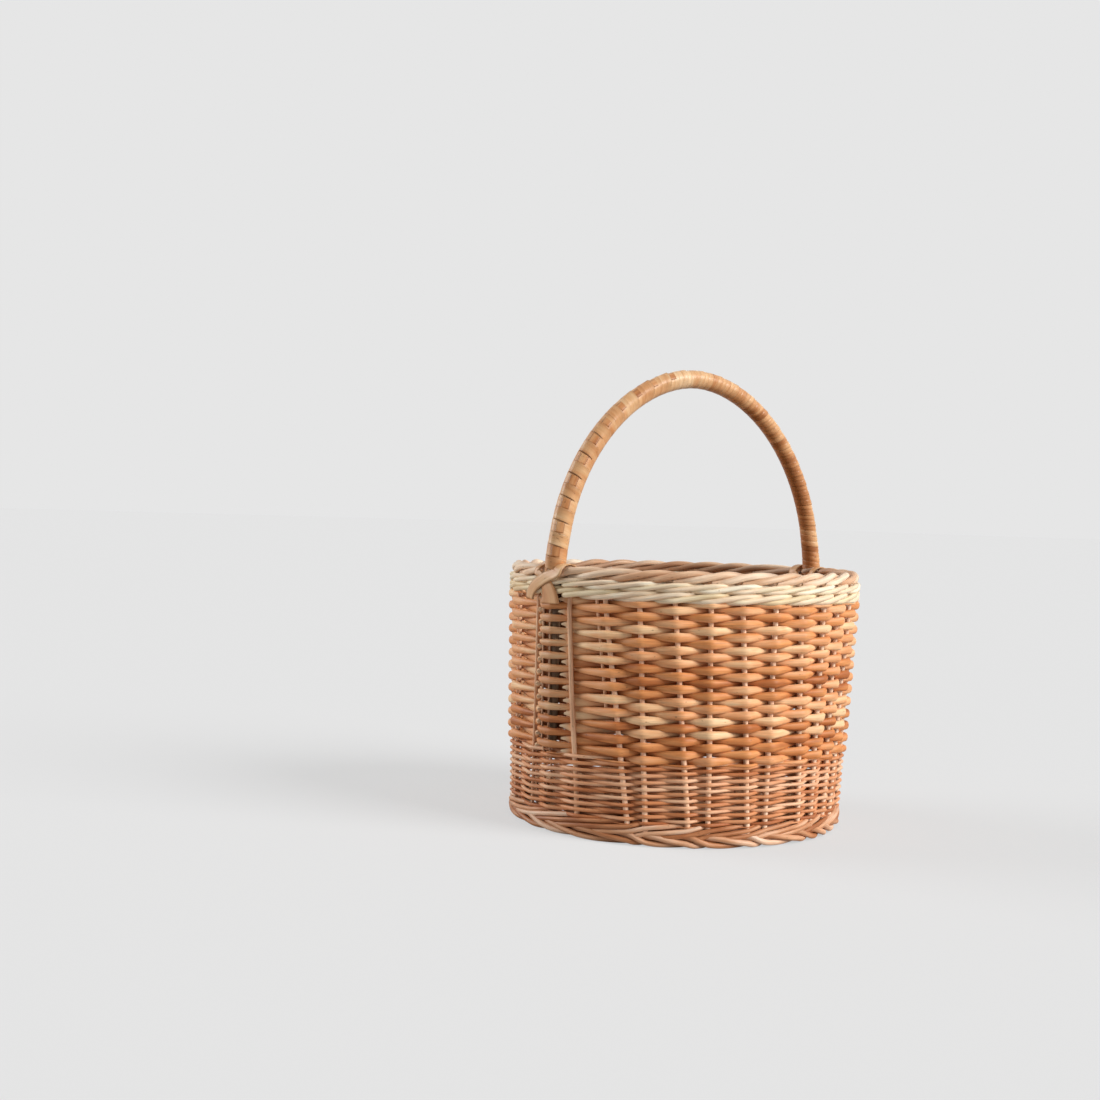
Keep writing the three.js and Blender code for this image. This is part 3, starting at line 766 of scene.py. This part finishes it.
bow_wood = willow(
    "bow_wood",
    tones=[(0.08, 0.045, 0.022), (0.12, 0.07, 0.036), (0.16, 0.095, 0.05), (0.2, 0.125, 0.07)],
    scar_and_shade=(0.1, 0.06, 0.035),
    pith=(0.6, 0.48, 0.33),
    rough=0.68,
    relief=0.6,
)
bow = new_bundle()
arch_line, _ = evenly(arch_points(np.linspace(0, 1, 1201)), 121)
descent = np.linspace(BOW_END_LOW, ARCH_SPRING - 1, 40)
far_end, near_end = (wall_point(azimuth_at(end, descent), descent, 0) for end in BOW_ENDS)
bow_line = np.vstack([far_end, arch_line, near_end[::-1]])
bow_places = np.r_[0 * descent, np.linspace(0, 1, len(arch_line)), 0 * descent + 1]
bow_diameter = np.interp(bow_places, BOW_SHARES, BOW_DIAMETERS)
round_share = fade(bow_line[:, 2], *BOW_FLATTENS)
down = fade(bow_line[:, 2], RIM_HEIGHT, BOW_END_LOW) ** 2
bow_wide = BOW_END_WIDE - BOW_END_NARROWS * down + (bow_diameter - BOW_END_WIDE) * round_share
bow_thick = BOW_END_THICK * (1 - BOW_END_THINS * down) + (bow_diameter - BOW_END_THICK) * round_share
add_rod(bow, bow_line, bow_wide, bow_thick, 0.6, lead=np.array([0.0, 1.0, 0.0]), sides=20)
make_piece("handle_bow", bow, bow_wood, ["handle_bow"])

# The slips: two thin willow slips outside each end of the bow, one beside it and one down its middle, of a
# dark tone and darkened further with painted shade, and one thin rod that stands beside a stake near the
# handle.
# All are pushed down into the finished weave.
SLIP_WIDE, SLIP_THICK, SLIP_TOP = 2.2, 1.8, 212.0
# Where each slip stands, in uprights from the bow's middle, and how low it reaches.
SLIPS = ((-0.36, 25), (-0.04, 40))
SLIP_OFFSET, SLIP_START, SLIP_END = BOW_END_THICK / 2 + 0.3, (60.0, 80.0), (216.0, 204.0)
SECOND_STAKE, SECOND_STAKE_FOOT, SECOND_STAKE_SIZE = 17.78, 112.0, 2.8

slips = new_bundle()
for end in BOW_ENDS:
    for beside, low in SLIPS:
        heights = np.linspace(low, SLIP_TOP, 60)
        azimuth = azimuth_at(end, heights) + beside * math.radians(360 / UPRIGHTS)
        offset = SLIP_OFFSET * fade(heights, *SLIP_START) * fade(heights, *SLIP_END)
        path = wall_point(azimuth, heights, offset)
        tone = dice.uniform(0.0, 0.2)
        # Painted shade over the whole slip.
        add_rod(slips, path, SLIP_WIDE, SLIP_THICK, tone, lead=round_wall(azimuth), sides=8, painted_shade=0.35)
heights = np.linspace(SECOND_STAKE_FOOT, SLIP_TOP, 40)
azimuth = azimuth_at(SECOND_STAKE, heights)
path = wall_point(azimuth, heights, STAKE_OFFSET + STAKE_PROUD)
add_rod(slips, path, SECOND_STAKE_SIZE, SECOND_STAKE_SIZE, 0.3, lead=round_wall(azimuth), sides=8)
make_piece("handle_slips", slips, stake_willow, [])

# The handle's winding: flat split willow wound round the bow from end to end, each turn lapping over the last.
# A wide flat leader runs up the near leg along the bow's outer front, over one turn and under the next, and
# lifts the turns that cross it, so that a row of steps shows there, their edges dark with painted shade.
WRAP_TURNS, WRAP_THICKNESS, TURN_POINTS = 50, 1.0, 40
WRAP_START, WRAP_LENGTH = 0.3, WRAP_TURNS + 0.6
WRAP_BELOW_ARCH = 12
LEADER_WIDTH, LEADER_THICKNESS, LEADER_TURN = 7.6, 0.8, 46.0
LEADER_START, LEADER_END = 0.535, 0.972
LEADER_FADE = (62, 32)
# Each table below has shares of the winding's length, from the far end to the near one, and a value at each.
# The tone of the turns, lower on the far half as painted shade, and how much paler their outer side is than
# their inner one there, which is painted light on the outer side and painted shade on the inner one.
TURN_TONES_AND_SHADE = (0, 0.3, 0.42, 0.52, 1), (0.32, 0.38, 0.6, 0.72, 0.6)
OUTER_PAINTED_LIGHT = (0, 0.35, 0.5), (0.42, 0.36, 0)
# The steps are strong on the near leg and faint on the far one. Every turn has one over the top, and every
# second turn low on the near leg. Each step lifts a turn's edge and darkens it with painted shade.
STEP_STRENGTHS = (0, 0.52, 0.57, 0.72, 0.78, 0.97, 1), (0.12, 0.15, 0.75, 0.95, 1, 1, 0.2)
STEP_EVENNESS = (0, 0.6, 0.72, 0.8, 1), (1, 1, 0.8, 0.0, 0.0)
# Two narrow strips lie side by side on the far half, with this deep a line between them, which is also
# darkened with painted shade.
TURN_SPLITS = (0, 0.54, 0.62), (0.4, 0.36, 0)


def strip(
    bundle, path, away, width, thickness, tone, lap=0.0, crown=0.25, across_points=7, edge_painted_shade=1.0, split=0.0
):
    """A flat crowned strip along a path. away is the way its face looks, lap lifts one edge over the other, the
    edges take painted shade, as strong as the edge value asks, and split is how deep the line is between two
    narrow strips that lie side by side, which also takes painted shade."""
    count = len(path)
    run = unit(np.gradient(path, axis=0))
    away = unit(away - (away * run).sum(axis=1, keepdims=True) * run)
    across = np.cross(away, run)
    values = (width, tone, lap, edge_painted_shade, split)
    width, tone, lap, edge_painted_shade, split = (per_point(value, count) for value in values)
    places = np.linspace(-1, 1, across_points)
    profile = [(p, (1 - p * p) * crown + 0.25 * (p + 1) ** 2 * lap - split * (abs(p) < 0.05)) for p in places]
    outline = profile + [(p, lift - 1.0) for p, lift in reversed(profile)]
    sides = len(outline)
    aside = np.array([p for p, _ in outline])
    asides = aside * width[:, None] / 2
    lifts = np.stack([lift for _, lift in outline], axis=-1) * thickness
    rings = path[:, None] + across[:, None] * asides[..., None] + away[:, None] * lifts[..., None]
    far = distances(path) + dice.uniform(0, GRAIN_SHIFT)
    grain = np.zeros((count, sides, 3))
    grain[..., 0] = far[:, None]
    grain[..., 1] = aside * width.mean() / 2
    grain[..., 2] = lifts
    # Painted shade along the edges and in the line between split strips.
    painted_shade = 0.6 * edge_painted_shade[:, None] * np.abs(aside) ** 10 + split[:, None] * (np.abs(aside) < 0.05)
    bundle["points"].append(rings.reshape(-1, 3))
    bundle["grain"].append(grain.reshape(-1, 3))
    bundle["tone"].append(np.repeat(tone, sides))
    bundle["painted_shade"].append(painted_shade.reshape(-1))
    bundle["cut"].append(np.zeros(count * sides))
    join_rings(bundle, count, sides, turned=True)
    first, last = bundle["count"], bundle["count"] + (count - 1) * sides
    bundle["faces"].append(tuple(first + j for j in range(sides)))
    bundle["faces"].append(tuple(last + j for j in reversed(range(sides))))
    bundle["count"] += count * sides


split_willow = willow(
    "split_willow",
    tones=[(0.34, 0.12, 0.035), (0.5, 0.21, 0.075), (0.6, 0.3, 0.13), (0.67, 0.38, 0.18), (0.76, 0.5, 0.28)],
    scar_and_shade=(0.17, 0.06, 0.02),
    pith=(0.8, 0.62, 0.42),
    rough=0.36,
    streak=0.1,
    relief=0.2,
    sheen=0.15,
)
front = np.array([0.0, -1.0, 0.0])
below_arch = np.array([0, 0, WRAP_BELOW_ARCH])
wound_line = np.vstack([arch_line[0] - below_arch, arch_line, arch_line[-1] - below_arch])
wound_line, wound_length = evenly(wound_line, 160)


def along_line(line, shares):
    places = np.clip(shares, 0, 1) * (len(line) - 1)
    return np.stack([np.interp(places, np.arange(len(line)), line[:, i]) for i in range(3)], axis=-1)


def arch_frame(shares):
    """The bow's middle, direction, outer side and diameter at shares of its wound length."""
    centres = along_line(wound_line, shares)
    tangents = unit(along_line(np.gradient(wound_line, axis=0), shares))
    outer = np.cross(tangents, front)
    outer = outer * np.sign((outer * (centres - np.array([0.0, BOW_PLANE, 218.0]))).sum(axis=1, keepdims=True))
    return centres, tangents, outer, np.interp(shares, BOW_SHARES, BOW_DIAMETERS)


winding = new_bundle()
turns = np.arange(WRAP_TURNS * TURN_POINTS + 1) / TURN_POINTS
shares = (turns + WRAP_START) / WRAP_LENGTH
centres, tangents, outer, diameters = arch_frame(shares)
angles = 2 * math.pi * turns
facing = outer * np.cos(angles)[:, None] + front * np.sin(angles)[:, None]
pitch = wound_length / WRAP_LENGTH
# The turns' tone, with painted shade on the far half and its inner sides, and painted light on its outer sides.
turn_tone_light_and_shade = np.interp(shares, *TURN_TONES_AND_SHADE) + np.interp(shares, *OUTER_PAINTED_LIGHT) * np.cos(angles)
turn_tone_light_and_shade = turn_tone_light_and_shade + 0.22 * smooth_noise(71, 61)(turns * 0.9)
from_leader = (np.degrees(angles) - LEADER_TURN + 180) % 360 - 180
on_leader = fade(np.abs(from_leader), *LEADER_FADE)
laced = np.round((np.degrees(angles) - LEADER_TURN) / 360) % 2
strength = np.interp(shares, *STEP_STRENGTHS)
step = strength * on_leader * np.maximum(laced, np.interp(shares, *STEP_EVENNESS) * 0.75)
lifted = LEADER_THICKNESS * 1.1 * on_leader * laced * np.clip(strength * 1.5, 0, 1)
out = diameters / 2 + WRAP_THICKNESS + 0.1 + lifted
wander = 0.05 * pitch * smooth_noise(72, 59)(turns * 1.3)
# The turns' edges take painted shade, stronger at the steps.
strip(
    winding, centres + facing * out[:, None] + tangents * wander[:, None], facing, pitch * 1.06, WRAP_THICKNESS,
    turn_tone_light_and_shade, lap=0.12 + 1.5 * step, crown=0.14, across_points=13, edge_painted_shade=np.clip(0.3 + 1.5 * step, 0, 1.6),
    split=np.interp(shares, *TURN_SPLITS),
)
make_piece("handle_wrap", winding, split_willow, ["handle_wrap"])

leader = new_bundle()
shares = np.linspace(LEADER_START, LEADER_END, 1100)
centres, tangents, outer, diameters = arch_frame(shares)
lean = math.radians(LEADER_TURN)
facing = unit(front * math.sin(lean) + outer * math.cos(lean))
over_turns = np.cos(math.pi * (shares * WRAP_LENGTH - WRAP_START - LEADER_TURN / 360))
curl = LEADER_WIDTH**2 / 8 / (diameters / 2 + 1.5)
out = diameters / 2 + WRAP_THICKNESS * 1.15 - 0.25 + 0.75 * np.clip(over_turns * 2.2, -1, 1) - curl
# The leader's edges take strong painted shade.
strip(
    leader, centres + facing * out[:, None], facing, LEADER_WIDTH, LEADER_THICKNESS,
    0.32 + 0.15 * smooth_noise(73, 31)(shares * 60), crown=curl.mean() / LEADER_THICKNESS, across_points=11,
    edge_painted_shade=2.6,
)
make_piece("handle_leader", leader, split_willow, [])

# The lashings: two flat strips of split willow crossed over each end of the handle, which bind it to the
# border and the waling, outside and inside the wall.
LASHING_THICKNESS, LASHING_LEVEL = 1.0, 1.2
LASHING_OUTSIDE, LASHING_INSIDE, LASHING_OVER = 9.8, 10.0, 227.8
LASHING_TOP, LASHING_INNER_LOW = 13.4, (12.0, 198.0)
LASHING_POINTS, LASHING_FAN = 80, 24
# For each side of the bow: where the strip crosses the outside at its low end, how high that is, how wide it is
# there and above, and how strongly it bends on its way up.
LASHINGS = {-1: (4.0, 195.0, 25.0, 6.5, 2.4), 1: (-22.0, 198.0, 11.5, 9.6, 2.1)}


def lashing(end, side, level):
    """One strip from low on the outside, up over the border beside the bow and down again on the inside."""
    low_place, low, wide_low, wide, bend = LASHINGS[side]
    lift = level * LASHING_LEVEL
    outside, inside, over = LASHING_OUTSIDE + lift, -(LASHING_INSIDE + lift), LASHING_OVER + lift
    beside = side * LASHING_TOP
    inner_place, inner_low = -side * LASHING_INNER_LOW[0], LASHING_INNER_LOW[1]
    high = BORDER_HEIGHT
    rows = []
    for share in np.linspace(0, 1, 9):
        place = low_place + (beside - low_place) * share**bend
        rows.append((place, outside, low + (high - low) * share))
    for angle in np.radians(np.linspace(20, 160, 8)):
        rows.append((beside, outside * math.cos(angle), high + (over - high) * math.sin(angle)))
    for share in np.linspace(1, 0, 9):
        place = inner_place + (beside - inner_place) * share
        rows.append((place, inside, inner_low + (high - inner_low) * share))
    rows, _ = evenly(np.array(rows), LASHING_POINTS)
    heights = rows[:, 2]
    azimuth = azimuth_at(end, RIM_HEIGHT) + rows[:, 0] / RIM_RADIUS
    path = wall_point(azimuth, heights, rows[:, 1])
    centre = wall_point(azimuth, BORDER_HEIGHT - 6, 0)
    over_share = fade(heights, 214, 222)[:, None]
    outward = np.stack([np.cos(azimuth), np.sin(azimuth), 0 * azimuth], axis=-1) * np.sign(rows[:, 1:2] + 1e-6)
    away = unit(outward * (1 - over_share) + unit(path - centre) * over_share)
    fan = fade(np.arange(LASHING_POINTS), LASHING_FAN, 0) ** 1.2
    return path, away, wide + (wide_low - wide) * fan


for i, end in enumerate(BOW_ENDS):
    for j, side in enumerate((-1, 1)):
        lashings = new_bundle()
        path, away, width = lashing(end, side, j)
        # The lashing's edges take painted shade.
        strip(lashings, path, away, width, LASHING_THICKNESS, 0.55 + 0.15 * j, crown=0.4)
        name = f"lashing_{i + 1}_{j + 1}"
        make_piece(name, lashings, split_willow, [name])

# The room: a pale seamless floor that keeps a soft shadow, an even sky, one broad lamp high on the right and a
# weaker one on the left. The floor and the sky look alike to the camera.
SKY_STRENGTH = 0.22
BACKGROUND = (0.791, 0.791, 0.791, 1)
FLOOR_HALF, FLOOR_GREY, SHADOW_KEPT = 60.0, 0.5, 0.45
VIEW_TURN, VIEW_DOWN, VIEW_ROLL = math.radians(35.012), math.radians(1.23), math.radians(1.698)
VIEW_RIGHT = np.array([math.cos(VIEW_TURN), -math.sin(VIEW_TURN), 0])
VIEW_AHEAD = np.array([math.sin(VIEW_TURN), math.cos(VIEW_TURN), 0])
# Where each lamp stands from the basket as the camera sees it, to the right, towards the camera and up, then
# its strength and how many degrees across it is.
LAMPS = {"key_lamp": (1.0, 0.54, 0.62, 3.76, 34), "fill_lamp": (-1.0, -0.3, 0.4, 2.0, 40)}

floor_mesh = bpy.data.meshes.new("studio_floor")
corners = [(x * FLOOR_HALF, y * FLOOR_HALF, 0) for x, y in ((-1, -1), (1, -1), (1, 1), (-1, 1))]
floor_mesh.from_pydata(corners, [], [(0, 1, 2, 3)])
floor = put_in_scene("studio_floor", floor_mesh)
floor_paint = bpy.data.materials.new("studio_floor")
floor_paint.use_nodes = True
nodes, links = floor_paint.node_tree.nodes, floor_paint.node_tree.links
paint = nodes["Principled BSDF"]
paint.inputs["Base Color"].default_value = (FLOOR_GREY, FLOOR_GREY, FLOOR_GREY, 1)
paint.inputs["Roughness"].default_value = 0.9
paint.inputs["Specular IOR Level"].default_value = 0.0
plain = nodes.new("ShaderNodeEmission")
plain.inputs["Color"].default_value = (1, 1, 1, 1)
plain.inputs["Strength"].default_value = 1.0
seen_floor = nodes.new("ShaderNodeLightPath")
lighten = nodes.new("ShaderNodeMath")
lighten.operation = "MULTIPLY"
lighten.inputs[1].default_value = 1 - SHADOW_KEPT
links.new(seen_floor.outputs["Is Camera Ray"], lighten.inputs[0])
floor_mix = nodes.new("ShaderNodeMixShader")
links.new(lighten.outputs["Value"], floor_mix.inputs["Fac"])
links.new(paint.outputs["BSDF"], floor_mix.inputs[1])
links.new(plain.outputs["Emission"], floor_mix.inputs[2])
links.new(floor_mix.outputs["Shader"], nodes["Material Output"].inputs["Surface"])
floor_mesh.materials.append(floor_paint)
floor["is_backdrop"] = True

world = bpy.data.worlds.new("studio_sky")
bpy.context.scene.world = world
world.use_nodes = True
nodes, links = world.node_tree.nodes, world.node_tree.links
sky = nodes["Background"]
sky.inputs["Color"].default_value = (1, 1, 1, 1)
sky.inputs["Strength"].default_value = SKY_STRENGTH
seen_sky = nodes.new("ShaderNodeBackground")
seen_sky.inputs["Color"].default_value = BACKGROUND
seen_sky.inputs["Strength"].default_value = 1.0
path_kind = nodes.new("ShaderNodeLightPath")
is_seen = path_kind.outputs["Is Camera Ray"]
for kind in ("Is Glossy Ray", "Is Transmission Ray"):
    either = nodes.new("ShaderNodeMath")
    either.operation = "MAXIMUM"
    links.new(is_seen, either.inputs[0])
    links.new(path_kind.outputs[kind], either.inputs[1])
    is_seen = either.outputs["Value"]
pick = nodes.new("ShaderNodeMixShader")
links.new(is_seen, pick.inputs["Fac"])
links.new(sky.outputs["Background"], pick.inputs[1])
links.new(seen_sky.outputs["Background"], pick.inputs[2])
links.new(pick.outputs["Shader"], nodes["World Output"].inputs["Surface"])

for name, (right, towards, height, strength, broad) in LAMPS.items():
    lamp = bpy.data.lights.new(name, "SUN")
    lamp.energy = strength
    lamp.angle = math.radians(broad)
    place = right * VIEW_RIGHT - towards * VIEW_AHEAD + height * UP
    holder = put_in_scene(name, lamp)
    holder.rotation_mode = "QUATERNION"
    holder.rotation_quaternion = Vector(place).normalized().to_track_quat("Z", "Y")

# The camera stands where the photograph was taken from, in front of the basket and to its left, a little above
# the rim's height, and looks past its left side.
camera_data = bpy.data.cameras.new("camera")
camera_data.lens = 50.0
camera_data.sensor_width = 36.0
camera = put_in_scene("camera", camera_data)
camera.location = (-0.8976, -1.0681, 0.2677)
camera.rotation_mode = "QUATERNION"
level_turn = Euler((math.pi / 2 - VIEW_DOWN, 0.0, -VIEW_TURN)).to_quaternion()
camera.rotation_quaternion = level_turn @ Quaternion((0, 0, 1), VIEW_ROLL)
bpy.context.scene.camera = camera
bpy.context.scene.view_settings.view_transform = "Standard"

low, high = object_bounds()
